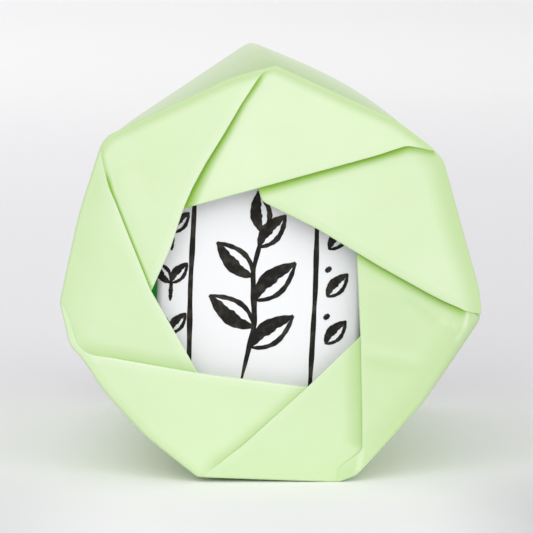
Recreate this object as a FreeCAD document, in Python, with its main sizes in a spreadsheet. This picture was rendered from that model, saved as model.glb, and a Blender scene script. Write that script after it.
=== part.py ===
"""Tea tin in a folded paper wrapper, lying on its side.

Frame: millimetres, +Z up. The tin's axis runs along +Y, with the lid at the front, facing -Y.
The origin is on the surface that the wrapper lies on, under the middle of the object.
"""
import FreeCAD, Part
import os
import Sketcher

Vector = FreeCAD.Vector

# The wrapper's folds: one facet of the sleeve, one corner and one flap for each.
FOLDS = 7

# Driving sizes in millimetres.
SIZES = {
    # The paper wrapper, measured from the tin's axis.
    "flat_radius": 32.4,          # axis to the outside of a facet
    "front_corner_rise": 3.3,     # how far the corners stand out past the facets, at the folds
    "rear_corner_rise": 1.6,      # and at the open end, where they are softer
    "paper_thickness": 0.5,       # the doubled sheet
    "crease_gap": 0.05,           # sleeve's edge to the flaps
    "corner_gap": 0.4,            # a flap's end to the corner
    "flap_gap": 0.3,              # a flap's side to its neighbour's fold
    "window_radius": 15.7,        # circle that the fold edges touch
    "window_shift": 2.2,          # the window sits to the left of the axis
    "window_drop": 1.1,           # and below it
    "window_depth": 3.0,          # underside of the flaps to the lid
    "sleeve_setback": 1.0,        # sleeve's open end to the tin's bottom
    # The tin.
    "tin_clearance": 0.4,         # tin to the sleeve's facets
    "tin_height": 80.0,
    "tinplate": 0.3,
    "lid_height": 26.0,
    "lid_edge_radius": 1.2,
    "lid_clearance": 0.06,        # lid's hem to the neck
    "lid_gap": 0.2,               # lid's open end to the wall
    "hem_height": 3.0,
    "neck_setback": 4.0,          # top of the lid to the top of the neck
    "base_recess": 2.6,
    "seam_thickness": 1.3,
    "seam_edge_radius": 0.4,
    "panel_step": 0.8,
    "panel_radius": 23.0,
    # The inner lid and its knob.
    "plug_depth": 9.0,
    "plug_clearance": 0.06,
    "flange_inset": 0.3,
    "knob_radius": 5.5,
    "knob_height": 8.0,
    "knob_head": 3.4,
    "knob_waist": 2.6,
    "knob_edge_radius": 1.0,
    "stem_radius": 1.5,
    "stem_clearance": 0.02,
    "stem_proud": 0.5,
    "washer_radius": 4.0,
    "washer_thickness": 0.6,
    # The label on the lid.
    "label_width": 34.3,
    "label_height": 42.0,
    "label_thickness": 0.15,
    "label_shift": 1.95,          # the label sits to the left of the axis
}

# Angles of the folds, as expressions.
FOLD_TURN = f"(360 deg / {FOLDS})"
HALF_TURN = f"(180 deg / {FOLDS})"

# Where a flap's inner tip is first drawn, in degrees round from its rim, before its sides are
# constrained to touch the window's circle.
TIP_LEAD = 69.0

# The label leans to the right by this many degrees.
LABEL_LEAN = 2.0

# Turns that lay a round piece, or a prism with a corner up, along +Y.
ROUND_TURN = FreeCAD.Rotation(Vector(1, 0, 0), -90)
PRISM_TURN = FreeCAD.Rotation(Vector(1, 1, 1), -120)


def size(name):
    """Return the expression for one driving size."""
    return f"Sizes.{name}"


# Places along the axis, as expressions: distances from the top of the lid, or Y in the frame.
LENGTH = f"({size('paper_thickness')} + {size('window_depth')} + {size('tin_height')})"
FLAP_BACK_Y = f"({size('paper_thickness')} - {LENGTH} / 2)"
LID_TOP_Y = f"({FLAP_BACK_Y} + {size('window_depth')})"
BASE_FRONT = f"({size('tin_height')} - {size('base_recess')} - {size('tinplate')})"
PLUG_REAR = f"({size('neck_setback')} + {size('plug_depth')})"
PLUG_FRONT = f"({PLUG_REAR} - {size('tinplate')})"

# Radii, as expressions.
PAPER_INSIDE = f"({size('flat_radius')} - {size('paper_thickness')})"
TIN_RADIUS = f"({PAPER_INSIDE} - {size('tin_clearance')})"
TIN_INSIDE = f"({TIN_RADIUS} - {size('tinplate')})"
HEM_RADIUS = f"({TIN_INSIDE} - {size('tinplate')})"
NECK_RADIUS = f"({HEM_RADIUS} - {size('lid_clearance')})"
NECK_INSIDE = f"({NECK_RADIUS} - {size('tinplate')})"
PLUG_RADIUS = f"({NECK_INSIDE} - {size('plug_clearance')})"
STEM_HOLE = f"({size('stem_radius')} + {size('stem_clearance')})"


def write_sheet(doc):
    """Make the spreadsheet of driving sizes."""
    sheet = doc.addObject("Spreadsheet::Sheet", "Sizes")
    for row, (name, value) in enumerate(SIZES.items(), start=1):
        sheet.set(f"A{row}", name)
        sheet.set(f"B{row}", str(value))
        sheet.setAlias(f"B{row}", name)
    doc.recompute()


def place_on_axis(obj, turn, along):
    """Lay an object on the tin's axis, starting at the Y place given as an expression."""
    obj.Placement = FreeCAD.Placement(Vector(), turn)
    obj.setExpression(".Placement.Base.y", along)
    obj.setExpression(".Placement.Base.z", size("flat_radius"))


def new_sketch(body):
    """Add a sketch on the body's own XZ plane."""
    sketch = body.newObject("Sketcher::SketchObject", f"{body.Name}_sketch")
    plane = next(f for f in body.Origin.OriginFeatures if f.Role == "XZ_Plane")
    sketch.AttachmentSupport = [(plane, "")]
    sketch.MapMode = "FlatFace"
    return sketch


def evaluate(obj, *expressions):
    """Return what expressions are worth now, as a list of numbers."""
    return [float(obj.evalExpression(expression)) for expression in expressions]


def hold(sketch, kind, *args):
    """Add a driving constraint whose last argument is an expression."""
    *geometry, expression = args
    index = sketch.addConstraint(Sketcher.Constraint(kind, *geometry, *evaluate(sketch, expression)))
    sketch.setExpression(f"Constraints[{index}]", expression)


def draw_outline(sketch, points):
    """Draw a closed outline of straight lines through rough points, given as expressions."""
    corners = [Vector(*evaluate(sketch, x, y), 0) for x, y in points]
    for index, start in enumerate(corners):
        end = corners[(index + 1) % len(corners)]
        sketch.addGeometry(Part.LineSegment(start, end), False)
    for index in range(len(corners)):
        following = (index + 1) % len(corners)
        sketch.addConstraint(Sketcher.Constraint("Coincident", index, 2, following, 1))


def revolved_body(doc, name, profile):
    """Make a round piece from a profile of (radius, distance from the lid's top) expressions."""
    body = doc.addObject("PartDesign::Body", name)
    sketch = new_sketch(body)
    draw_outline(sketch, profile)
    for index, (radius, distance) in enumerate(profile):
        if radius == "0":
            sketch.addConstraint(Sketcher.Constraint("PointOnObject", index, 1, -2))
        else:
            hold(sketch, "DistanceX", index, 1, radius)
        if distance == "0":
            sketch.addConstraint(Sketcher.Constraint("PointOnObject", index, 1, -1))
        else:
            hold(sketch, "DistanceY", index, 1, distance)
    turned = body.newObject("PartDesign::Revolution", f"{name}_turned")
    turned.Profile = sketch
    turned.ReferenceAxis = (sketch, ["V_Axis"])
    turned.Angle = 360
    doc.recompute()
    place_on_axis(body, ROUND_TURN, LID_TOP_Y)
    return body


def round_edges(doc, body, circles, radius):
    """Fillet the circular edges at the given (radius, distance) expressions."""
    base = body.Tip
    wanted = [evaluate(base, *circle) for circle in circles]
    names = []
    for index, edge in enumerate(base.Shape.Edges, start=1):
        if not isinstance(edge.Curve, Part.Circle):
            continue
        for edge_radius, distance in wanted:
            same_radius = abs(edge.Curve.Radius - edge_radius) < 1e-6
            if same_radius and abs(edge.Curve.Center.z - distance) < 1e-6:
                names.append(f"Edge{index}")
    if len(names) != len(wanted):
        raise RuntimeError(f"{body.Name}: {len(names)} of {len(wanted)} edges found")
    fillet = body.newObject("PartDesign::Fillet", f"{body.Name}_fillet")
    fillet.Base = (base, names)
    fillet.setExpression("Radius", radius)
    doc.recompute()


def corner_trimmed_prism(doc, name, inset):
    """Make a seven-sided prism whose corners are trimmed by a cone, set in from the sleeve's skin.

    The cone is widest at the folded end, so the corners are sharp there and soften to the rear.
    """
    start = f"({FLAP_BACK_Y} + {size('crease_gap')})"
    height = f"({LENGTH} / 2 - {size('sleeve_setback')} - {start})"
    prism = doc.addObject("Part::Prism", f"{name}_prism")
    prism.Polygon = FOLDS
    prism.setExpression("Circumradius", f"({size('flat_radius')} - {inset}) / cos({HALF_TURN})")
    prism.setExpression("Height", height)
    place_on_axis(prism, PRISM_TURN, start)
    cone = doc.addObject("Part::Cone", f"{name}_cone")
    cone.setExpression("Radius1", f"{size('flat_radius')} + {size('front_corner_rise')} - {inset}")
    cone.setExpression("Radius2", f"{size('flat_radius')} + {size('rear_corner_rise')} - {inset}")
    cone.setExpression("Height", height)
    place_on_axis(cone, ROUND_TURN, start)
    trimmed = doc.addObject("Part::MultiCommon", name)
    trimmed.Shapes = [prism, cone]
    return trimmed


def make_sleeve(doc):
    """Make the paper tube: an outer form less the same form one paper thickness inside it."""
    sleeve = doc.addObject("Part::Cut", "wrapper_sleeve")
    sleeve.Base = corner_trimmed_prism(doc, "sleeve_outside", "0")
    sleeve.Tool = corner_trimmed_prism(doc, "sleeve_inside", size("paper_thickness"))
    return [sleeve]


def make_flap(doc, number):
    """Make one flap: a triangle from its rim to the window, drawn with its rim at the top.

    Its fold side touches the window's circle, and its other side stops short of the fold of the
    flap before it.
    """
    body = doc.addObject("PartDesign::Body", f"wrapper_flap_{number}")
    turn = f"({number - 0.5} * {FOLD_TURN})"
    centre_x = f"({size('window_drop')} * sin({turn}) - {size('window_shift')} * cos({turn}))"
    centre_y = f"(-{size('window_drop')} * cos({turn}) - {size('window_shift')} * sin({turn}))"
    half_rim = f"({PAPER_INSIDE} * tan({HALF_TURN}) - {size('corner_gap')})"
    tip_reach = f"({size('window_radius')} / cos({HALF_TURN}))"
    tip_x = f"({centre_x} - {tip_reach} * sin({TIP_LEAD} deg))"
    tip_y = f"({centre_y} + {tip_reach} * cos({TIP_LEAD} deg))"

    sketch = new_sketch(body)
    corners = [(f"-{half_rim}", PAPER_INSIDE), (half_rim, PAPER_INSIDE), (tip_x, tip_y)]
    draw_outline(sketch, corners)
    rim, fold, trailing = range(3)
    for side in (rim, fold):
        hold(sketch, "DistanceX", side, 1, corners[side][0])
        hold(sketch, "DistanceY", side, 1, corners[side][1])
    centre = Vector(*evaluate(sketch, centre_x, centre_y), 0)
    circles = {
        fold: size("window_radius"),
        trailing: f"{size('window_radius')} - {size('flap_gap')}",
    }
    for side, radius in circles.items():
        drawn = Part.Circle(centre, Vector(0, 0, 1), *evaluate(sketch, radius))
        circle = sketch.addGeometry(drawn, True)
        hold(sketch, "DistanceX", circle, 3, centre_x)
        hold(sketch, "DistanceY", circle, 3, centre_y)
        hold(sketch, "Radius", circle, radius)
        sketch.addConstraint(Sketcher.Constraint("Tangent", side, circle))
    sheet = body.newObject("PartDesign::Pad", f"{body.Name}_sheet")
    sheet.Profile = sketch
    sheet.setExpression("Length", size("paper_thickness"))
    place_on_axis(body, FreeCAD.Rotation(Vector(0, 1, 0), (number - 0.5) * 360 / FOLDS), FLAP_BACK_Y)
    return body


def make_lid(doc):
    """Make the lid, a drawn cup with a hem folded in at its open end, and its square-cut label."""
    plate = size("tinplate")
    end = size("lid_height")
    hem_top = f"({end} - {size('hem_height')})"
    shell = revolved_body(doc, "lid_shell", [
        ("0", "0"),
        (TIN_RADIUS, "0"),
        (TIN_RADIUS, end),
        (HEM_RADIUS, end),
        (HEM_RADIUS, hem_top),
        (TIN_INSIDE, hem_top),
        (TIN_INSIDE, plate),
        ("0", plate),
    ])
    inside_radius = f"({size('lid_edge_radius')} - {plate})"
    round_edges(doc, shell, [(TIN_INSIDE, plate)], inside_radius)
    round_edges(doc, shell, [(TIN_RADIUS, "0")], size("lid_edge_radius"))

    label = doc.addObject("Part::Box", "lid_label")
    label.setExpression("Length", size("label_width"))
    label.setExpression("Width", size("label_thickness"))
    label.setExpression("Height", size("label_height"))
    place_on_axis(
        label, FreeCAD.Rotation(Vector(0, 1, 0), LABEL_LEAN), f"{LID_TOP_Y} - {size('label_thickness')}")
    half_width = f"{size('label_width')} / 2"
    half_height = f"{size('label_height')} / 2"
    sine = f"sin({LABEL_LEAN} deg)"
    cosine = f"cos({LABEL_LEAN} deg)"
    label.setExpression(
        ".Placement.Base.x", f"-{size('label_shift')} - {half_width} * {cosine} - {half_height} * {sine}")
    label.setExpression(
        ".Placement.Base.z", f"{size('flat_radius')} + {half_width} * {sine} - {half_height} * {cosine}")
    return [shell, label]


def make_inner_lid(doc):
    """Make the plug lid, a dish with a flange on the neck, with its knob and the washer behind."""
    plate = size("tinplate")
    neck_top = size("neck_setback")
    flange_top = f"({neck_top} - {plate})"
    flange_radius = f"({NECK_RADIUS} - {size('flange_inset')})"
    dish_radius = f"({PLUG_RADIUS} - {plate})"
    dish = revolved_body(doc, "inner_lid", [
        (STEM_HOLE, PLUG_FRONT),
        (dish_radius, PLUG_FRONT),
        (dish_radius, flange_top),
        (flange_radius, flange_top),
        (flange_radius, neck_top),
        (PLUG_RADIUS, neck_top),
        (PLUG_RADIUS, PLUG_REAR),
        (STEM_HOLE, PLUG_REAR),
    ])

    knob_top = f"({PLUG_FRONT} - {size('knob_height')})"
    head_end = f"({knob_top} + {size('knob_head')})"
    stem_end = f"({PLUG_REAR} + {size('washer_thickness')} + {size('stem_proud')})"
    knob = revolved_body(doc, "inner_lid_knob", [
        ("0", knob_top),
        (size("knob_radius"), knob_top),
        (size("knob_radius"), head_end),
        (size("knob_waist"), head_end),
        (size("knob_waist"), PLUG_FRONT),
        (size("stem_radius"), PLUG_FRONT),
        (size("stem_radius"), stem_end),
        ("0", stem_end),
    ])
    head_edges = [(size("knob_radius"), knob_top), (size("knob_radius"), head_end)]
    round_edges(doc, knob, head_edges, size("knob_edge_radius"))

    washer_end = f"({PLUG_REAR} + {size('washer_thickness')})"
    washer = revolved_body(doc, "inner_lid_washer", [
        (STEM_HOLE, PLUG_REAR),
        (size("washer_radius"), PLUG_REAR),
        (size("washer_radius"), washer_end),
        (STEM_HOLE, washer_end),
    ])
    return [dish, knob, washer]


def make_canister(doc):
    """Make the wall with its folded top hem, the neck inside it, and the stepped base."""
    plate = size("tinplate")
    wall_top = f"({size('lid_height')} + {size('lid_gap')})"
    hem_end = f"({wall_top} + {size('hem_height')})"
    wall = revolved_body(doc, "canister_wall", [
        (NECK_RADIUS, wall_top),
        (TIN_RADIUS, wall_top),
        (TIN_RADIUS, BASE_FRONT),
        (TIN_INSIDE, BASE_FRONT),
        (TIN_INSIDE, hem_end),
        (NECK_RADIUS, hem_end),
    ])

    neck = revolved_body(doc, "neck_sleeve", [
        (NECK_INSIDE, size("neck_setback")),
        (NECK_RADIUS, size("neck_setback")),
        (NECK_RADIUS, BASE_FRONT),
        (NECK_INSIDE, BASE_FRONT),
    ])

    foot = size("tin_height")
    panel_rear = f"({BASE_FRONT} + {plate})"
    step_front = f"({BASE_FRONT} - {size('panel_step')})"
    step_radius = f"({size('panel_radius')} + {size('panel_step')})"
    seam_inside = f"({TIN_RADIUS} - {size('seam_thickness')})"
    base = revolved_body(doc, "canister_base", [
        ("0", step_front),
        (size("panel_radius"), step_front),
        (step_radius, BASE_FRONT),
        (TIN_RADIUS, BASE_FRONT),
        (TIN_RADIUS, foot),
        (seam_inside, foot),
        (seam_inside, panel_rear),
        (step_radius, panel_rear),
        (size("panel_radius"), f"({step_front} + {plate})"),
        ("0", f"({step_front} + {plate})"),
    ])
    round_edges(doc, base, [(TIN_RADIUS, foot), (seam_inside, foot)], size("seam_edge_radius"))
    return [wall, neck, base]


def check_and_export(doc, pieces):
    """Stop on any failed object, then write each piece to its own file."""
    doc.recompute()
    for obj in doc.Objects:
        if "Invalid" in obj.State or "Error" in obj.State:
            raise RuntimeError(f"{obj.Label} failed to compute")
    for piece in pieces:
        if piece.Shape.isNull() or not piece.Shape.isValid():
            raise RuntimeError(f"{piece.Label} has no valid shape")
    os.makedirs("parts", exist_ok=True)
    for piece in pieces:
        piece.Shape.exportStep(f"parts/{piece.Label}.step")


def main():
    doc = FreeCAD.newDocument("TeaCaddy")
    write_sheet(doc)
    pieces = make_sleeve(doc)
    pieces += [make_flap(doc, number) for number in range(1, FOLDS + 1)]
    pieces += make_lid(doc)
    pieces += make_inner_lid(doc)
    pieces += make_canister(doc)
    check_and_export(doc, pieces)


main()
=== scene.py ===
"""Looks of a tea tin in a folded paper wrapper: paper, label, finishes of the tin, and the stage.

Everything is in metres, in the frame of the CAD model: the tin lies along Y with its lid towards -Y.
Round the tin, a turn is an angle in radians clockwise from straight up, seen from the lid.
"""
import math
from typing import NamedTuple

import bpy
import numpy as np
from bpy.props import FloatProperty, FloatVectorProperty, PointerProperty
from mathutils import Matrix, Vector


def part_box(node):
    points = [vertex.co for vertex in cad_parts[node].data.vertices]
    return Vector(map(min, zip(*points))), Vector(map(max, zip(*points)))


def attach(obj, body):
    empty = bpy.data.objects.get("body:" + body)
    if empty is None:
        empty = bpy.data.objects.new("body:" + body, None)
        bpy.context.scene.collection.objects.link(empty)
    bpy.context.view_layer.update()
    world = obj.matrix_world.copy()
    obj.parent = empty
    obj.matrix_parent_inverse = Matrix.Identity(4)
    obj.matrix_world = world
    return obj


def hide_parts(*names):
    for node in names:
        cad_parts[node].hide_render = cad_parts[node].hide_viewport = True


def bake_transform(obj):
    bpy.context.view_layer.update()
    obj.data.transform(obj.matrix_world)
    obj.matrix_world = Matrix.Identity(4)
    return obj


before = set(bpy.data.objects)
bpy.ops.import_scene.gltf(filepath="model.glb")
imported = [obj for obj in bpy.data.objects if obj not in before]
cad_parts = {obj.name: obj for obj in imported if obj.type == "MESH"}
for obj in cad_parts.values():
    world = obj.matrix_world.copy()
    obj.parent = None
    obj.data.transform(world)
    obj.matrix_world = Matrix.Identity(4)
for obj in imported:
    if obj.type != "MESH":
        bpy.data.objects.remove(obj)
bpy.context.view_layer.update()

bl_info = {
    "name": "Wrapped Tea Caddy",
    "version": (1, 0, 0),
    "blender": (4, 5, 0),
    "location": "View3D > Sidebar > Tea Caddy",
    "description": "Builds the looks of a tea tin in a folded paper wrapper",
    "category": "Object",
}

MM = 0.001

# Places that the CAD model fixes.
FOLDS = sum(name.startswith("wrapper_flap_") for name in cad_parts)
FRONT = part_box("wrapper_flap_1")[0][1]
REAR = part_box("wrapper_sleeve")[1][1]
AXIS_HEIGHT = (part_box("lid_shell")[0][2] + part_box("lid_shell")[1][2]) / 2


# The folded end as the photograph shows it. Its middle lies a little above the tin's axis.
END_HEIGHT = 33.5 * MM

# Sides of the folded end, clockwise from the top: the way each one faces in degrees, and its distance
# from the middle in millimetres. The short ones are corners pressed flat.
FRONT_SIDES = (
    (24.5, 33.6), (37.0, 34.4), (49.0, 35.2), (74.2, 33.2), (85.0, 34.6), (110.4, 35.1), (124.5, 32.5),
    (132.5, 32.5), (159.5, 35.4), (182.3, 33.1), (202.0, 35.4), (219.0, 33.2), (228.0, 32.9), (237.0, 33.3),
    (257.0, 35.1), (282.5, 33.9), (288.0, 34.2), (308.0, 36.8), (323.0, 36.5), (335.0, 34.2), (345.5, 35.2),
)

# A corner where doubled paper stands out: its turn in degrees, height in millimetres, half width in degrees.
PINCH = (253.0, 0.45, 2.5)

# Sides of the open end, from the tin's axis. The upper ones are seen in the photograph.
REAR_SIDES = (
    (22.0, 33.6), (30.0, 33.4), (40.0, 33.7), (77.1, 32.4), (128.6, 32.4), (180.0, 32.4), (231.4, 32.4),
    (282.9, 32.4), (326.4, 32.2),
)

# Where the folds leave the rim, and where those corners have gone at the open end, in degrees clockwise.
FRONT_CORNERS = (1.4, 50.0, 98.0, 162.1, 198.8, 265.3, 308.4)
REAR_CORNERS = (-3.0, 51.0, 102.9, 154.3, 205.7, 257.1, 304.0)

# How sharp the corners are: the power of the norm that joins two sides.
FRONT_SHARPNESS = 300
REAR_SHARPNESS = (80, 40, 9, 9, 9, 9, 30)


class Flap(NamedTuple):
    """One flap, in millimetres right of and above the middle of the folded end."""

    fold: tuple     # points along its fold after the rim's corner, to its tip
    knee: float     # part of the fold's length that runs along the corner, before the flap's flat
    lift: tuple     # how far the fold stands up off the next flap: near the rim and by the window
    rim: tuple      # radius of the roll over its rim: at its start, in the middle and at its fold
    rim_shade: tuple     # depth of the painted shade along its rim, and its reach
    painted_flap_shade: float     # how much painted shade lies over the whole flap, for how the light falls on it
    shade: tuple    # depth of the painted shade under its fold, its reach near the rim and by the window, and its share along the knee
                    # its share along the knee
    pale: float     # how much its fold is bruised pale with a painted highlight, or below zero how much painted shade it gets where it bends out of the light


# Clockwise from the top. Each flap lies over the next one.
FLAPS = (
    Flap(
        fold=((24.9, 22.8), (22.5, 23.2), (-14.9, 12.9)),
        knee=0.1, lift=(0.5, 0.4), rim=(0.5, 0.5, 0.3), rim_shade=(0.36, 1.7), painted_flap_shade=0.02,
        shade=(1.3, 1.5, 2.4, 0.7), pale=-0.05),
    Flap(
        fold=((32.6, -4.6), (31.1, -3.8), (26.5, -1.45), (18.0, 3.3), (7.8, 9.5), (-1.4, 14.1),
              (-1.52, 14.5)),
        knee=0.05, lift=(0.5, 0.4), rim=(0.3, 0.6, 0.3), rim_shade=(0.34, 4.2), painted_flap_shade=0.09,
        shade=(0.98, 1.75, 1.9, 0.25), pale=-0.16),
    Flap(
        fold=((11.3, -31.0), (15.2, -28.1), (15.4, -22.8), (15.1, -9.3), (14.4, 5.5)),
        knee=0.17, lift=(0.25, 0.2), rim=(2.0, 1.0, 0.3), rim_shade=(0.14, 5.0), painted_flap_shade=0.23,
        shade=(0.38, 3.4, 3.4, 0.1), pale=0.2),
    Flap(
        fold=((-9.5, -30.8), (-5.0, -27.6), (-1.8, -24.7), (6.0, -17.6), (14.8, -9.1)),
        knee=0.06, lift=(0.3, 0.25), rim=(0.4, 0.4, 0.4), rim_shade=(0.02, 1.5), painted_flap_shade=0.19,
        shade=(0.3, 1.8, 2.2, 0.5), pale=0.6),
    Flap(
        fold=((-33.7, -6.0), (-32.4, -10.1), (-30.8, -11.5), (-29.3, -12.0), (-12.5, -15.0), (5.6, -17.5)),
        knee=0.18, lift=(0.35, 0.3), rim=(0.5, 0.6, 0.3), rim_shade=(0.14, 1.5), painted_flap_shade=0.11,
        shade=(0.3, 2.8, 2.8, 0.4), pale=1.0),
    Flap(
        fold=((-28.3, 22.0), (-27.8, 19.6), (-26.9, 16.0), (-25.9, 13.2), (-24.15, 8.7), (-20.4, -0.8),
              (-12.5, -14.9)),
        knee=0.11, lift=(0.35, 0.35), rim=(0.4, 0.5, 0.5), rim_shade=(0.14, 7.0), painted_flap_shade=0.14,
        shade=(1.6, 0.75, 0.75, 0.3), pale=0.9),
    Flap(
        fold=((-1.45, 35.4), (-5.1, 30.4), (-7.9, 25.6), (-11.2, 20.3), (-13.4, 16.2), (-14.9, 12.7),
              (-17.0, 6.25), (-20.2, -0.9)),
        knee=0.07, lift=(0.4, 0.6), rim=(0.5, 0.5, 0.5), rim_shade=(0.32, 1.5), painted_flap_shade=0.1,
        shade=(1.3, 0.85, 3.5, 0.3), pale=0.7),
)


class Crease(NamedTuple):
    """A wrinkle across a flap, in millimetres as above: a sharp ridge, or a groove below zero."""

    flap: int       # number of the flap, from 0 at the top
    start: tuple
    end: tuple
    height: float
    left: float     # how far it spreads to the left of the way from start to end
    right: float
    pale: float     # painted highlight along its line, or painted shade below zero


CREASES = (
    Crease(2, (32.9, -4.6), (32.3, -7.3), 0.2, 0.6, 1.5, 0.6),
    Crease(2, (32.3, -7.3), (31.0, -9.6), 0.2, 0.6, 1.5, 0.4),
    Crease(2, (28.0, -6.2), (31.4, -7.2), 0.1, 1.5, 1.5, 0.25),
    Crease(2, (28.8, -7.7), (31.9, -8.1), -0.1, 1.2, 1.2, -0.14),
    Crease(2, (28.3, -7.0), (22.5, -2.5), -0.25, 2.0, 2.0, -0.1),
    Crease(2, (15.6, -10.8), (26.0, -13.0), 0.15, 3.0, 3.0, 0.2),
    Crease(2, (15.6, -12.6), (26.0, -14.7), -0.15, 4.0, 4.0, -0.1),
    Crease(2, (15.2, -28.1), (14.6, -31.6), 0.3, 2.0, 1.0, 0.5),
    Crease(6, (-23.0, 20.0), (-19.0, 13.0), -0.2, 3.0, 3.0, 0.0),
)


class WrapperSettings(bpy.types.PropertyGroup):
    """Sizes of the paper wrapper."""

    paper: FloatProperty(
        name="Paper", description="Thickness of the paper", default=0.14 * MM, unit="LENGTH")
    strip: FloatProperty(
        name="Rim strip", description="Side of the wrapper that bends with a flap", default=4.5 * MM,
        unit="LENGTH")
    tuck: FloatProperty(
        name="Tuck", description="How far a flap runs under the one before it", default=3.0 * MM,
        unit="LENGTH")
    sink: FloatProperty(
        name="Sink", description="How far the tucked side lies below the rim", default=0.15 * MM,
        unit="LENGTH")
    rise: FloatProperty(
        name="Rise", description="Distance from the rim over which a fold lifts", default=6.0 * MM,
        unit="LENGTH")
    fold_radius: FloatProperty(
        name="Fold radius", description="Radius of the paper's turn at a fold", default=0.22 * MM,
        unit="LENGTH")
    hem: FloatProperty(
        name="Hem", description="Width of the paper turned under at a fold", default=2.2 * MM,
        unit="LENGTH")


class LabelSettings(bpy.types.PropertyGroup):
    """Sizes of the lid's label."""

    width: FloatProperty(name="Width", description="Width of the label", default=34.3 * MM, unit="LENGTH")
    height: FloatProperty(name="Height", description="Height of the label", default=42.0 * MM, unit="LENGTH")
    lean: FloatProperty(
        name="Lean", description="Label's turn to the right", default=math.radians(2.0), subtype="ANGLE")
    ink: FloatProperty(
        name="Ink", description="How far the ink lies over the paper", default=0.03 * MM, unit="LENGTH")


def linear(code):
    """Turn an sRGB hex colour into linear red, green, blue and an alpha of one."""
    srgb = np.array([int(code[place:place + 2], 16) for place in (1, 3, 5)]) / 255
    value = np.where(srgb <= 0.04045, srgb / 12.92, ((srgb + 0.055) / 1.055) ** 2.4)
    return (*value.tolist(), 1.0)


def colour_property(name, description, code):
    """Make a colour property whose default is an sRGB hex colour."""
    return FloatVectorProperty(
        name=name, description=description, default=linear(code), size=4, min=0.0, max=1.0, subtype="COLOR")


class FinishSettings(bpy.types.PropertyGroup):
    """Colours of the finishes."""

    paper: colour_property("Paper", "Wrapper paper in plain light", "#DDF0C6")
    # Pale colour of the mottle, of bruised folds and of the painted highlight along folds and wrinkles.
    paper_pale_and_highlight: colour_property("Fold", "Paper bruised pale along a fold", "#E9F7DA")
    # Painted shade: the deeper green of shade under folds, along rims, on the sides and over darker flaps.
    paper_painted_shade: colour_property("Deep", "Paper lit through its neighbours under a fold", "#8EBC41")
    label: colour_property("Label", "Label paper", "#F5F6F8")
    ink: colour_property("Ink", "Brush ink on the label", "#1B1A17")
    ink_dry: colour_property("Dry ink", "Ink where the brush ran dry", "#4C463E")
    lacquer: colour_property("Lacquer", "Lid lacquer", "#04941C")
    tinplate: colour_property("Tinplate", "Bare tinplate", "#C9C8C2")
    brass: colour_property("Brass", "Knob brass", "#C2A25A")
    # The floor's colours hold painted light and shade: pale near the object, darker to its sides and front.
    floor_near: colour_property("Floor, near", "Floor before the object", "#FDFCFF")
    floor_painted_shade: colour_property("Floor, side", "Floor to either side", "#CDCCD1")
    floor_far: colour_property("Floor, far", "Floor behind the object", "#FEFEFF")


class StageSettings(bpy.types.PropertyGroup):
    """Camera and light."""

    azimuth: FloatProperty(
        name="Azimuth", description="Camera's turn round the object", default=math.radians(-1.2),
        subtype="ANGLE")
    elevation: FloatProperty(
        name="Elevation", description="Camera's height over the horizon", default=math.radians(7.1),
        subtype="ANGLE")
    distance: FloatProperty(
        name="Distance", description="Camera to the folded end", default=0.54, unit="LENGTH")
    frame_width: FloatProperty(
        name="Frame width", description="Width of the picture at the folded end", default=88.8 * MM,
        unit="LENGTH")
    aim_right: FloatProperty(
        name="Aim right", description="Middle of the picture, right of the axis", default=-0.83 * MM,
        unit="LENGTH")
    aim_up: FloatProperty(
        name="Aim up", description="Middle of the picture, above the axis", default=4.16 * MM, unit="LENGTH")


class TeaCaddySettings(bpy.types.PropertyGroup):
    """All settings of the tea caddy."""

    wrapper: PointerProperty(type=WrapperSettings)
    label: PointerProperty(type=LabelSettings)
    finish: PointerProperty(type=FinishSettings)
    stage: PointerProperty(type=StageSettings)


# Meshes from grids of points

def smooth_step(value):
    """Ease from 0 to 1: 3 t^2 - 2 t^3, with t held between 0 and 1."""
    held = np.clip(value, 0.0, 1.0)
    return held * held * (3 - 2 * held)


def grid_index(rows, columns, start=0):
    """Numbers of the points of a grid, row by row."""
    return start + np.arange(rows * columns).reshape(rows, columns)


def grid_faces(index, around=False):
    """Quads of a grid of point numbers, as rows by columns by 4; around closes the ring of columns."""
    right = np.roll(index, -1, axis=1)
    quads = np.stack([index[:-1], right[:-1], right[1:], index[1:]], axis=-1)
    return quads if around else quads[:, :-1]


def mesh_piece(name, points, quads, attributes=None):
    """Make a smooth mesh object from points and quads, without the points that no quad uses."""
    quads = quads.reshape(-1, 4)
    used, quads = np.unique(quads, return_inverse=True)
    quads = quads.reshape(-1, 4)
    points = points.reshape(-1, 3)[used]
    mesh = bpy.data.meshes.new(name)
    mesh.from_pydata(points.tolist(), [], quads.tolist())
    mesh.polygons.foreach_set("use_smooth", np.ones(len(quads), dtype=bool))
    for key, values in (attributes or {}).items():
        layer = mesh.attributes.new(key, "FLOAT", "POINT")
        layer.data.foreach_set("value", values.reshape(-1)[used].astype(np.float32))
    mesh.update()
    piece = bpy.data.objects.new(name, mesh)
    bpy.context.scene.collection.objects.link(piece)
    return piece


def solidify(piece, thickness):
    """Give a sheet its thickness, inwards from its outer face."""
    wall = piece.modifiers.new("Paper thickness", "SOLIDIFY")
    wall.thickness = thickness
    wall.offset = -1.0


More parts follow.
